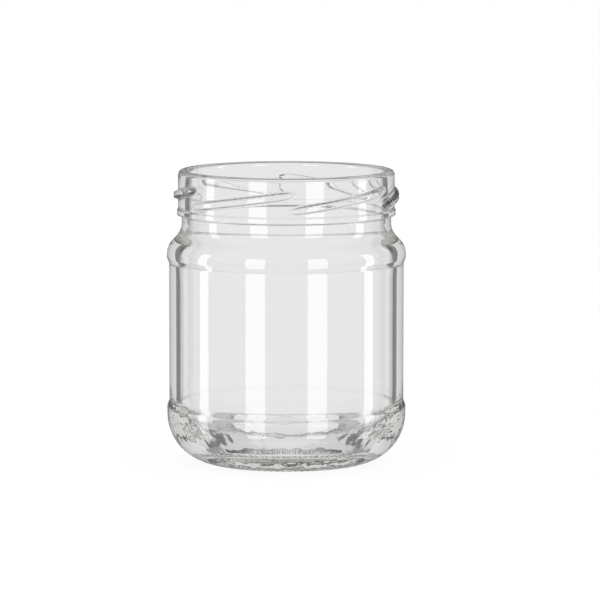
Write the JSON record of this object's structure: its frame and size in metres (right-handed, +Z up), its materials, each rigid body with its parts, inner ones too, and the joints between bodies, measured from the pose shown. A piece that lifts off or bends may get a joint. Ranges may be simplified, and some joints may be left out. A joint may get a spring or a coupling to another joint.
{
  "type": "glass jar",
  "caption": "Small round jar of clear glass, open at the mouth, with slanting lugs and a collar for a twist-off cap, a recessed panel and a large rounded heel.",
  "frame": {"origin": "on the jar's axis, in the plane of the bearing ring that it stands on", "axes": "+Z up along the jar's axis; -Y is the front, where the lugs rise towards +X"},
  "size_m": [0.0678, 0.0678, 0.0834],
  "materials": {
    "glass": "clear, fire polished"
  },
  "bodies": {
    "root": {"jar": "glass"}
  },
  "joints": []
}
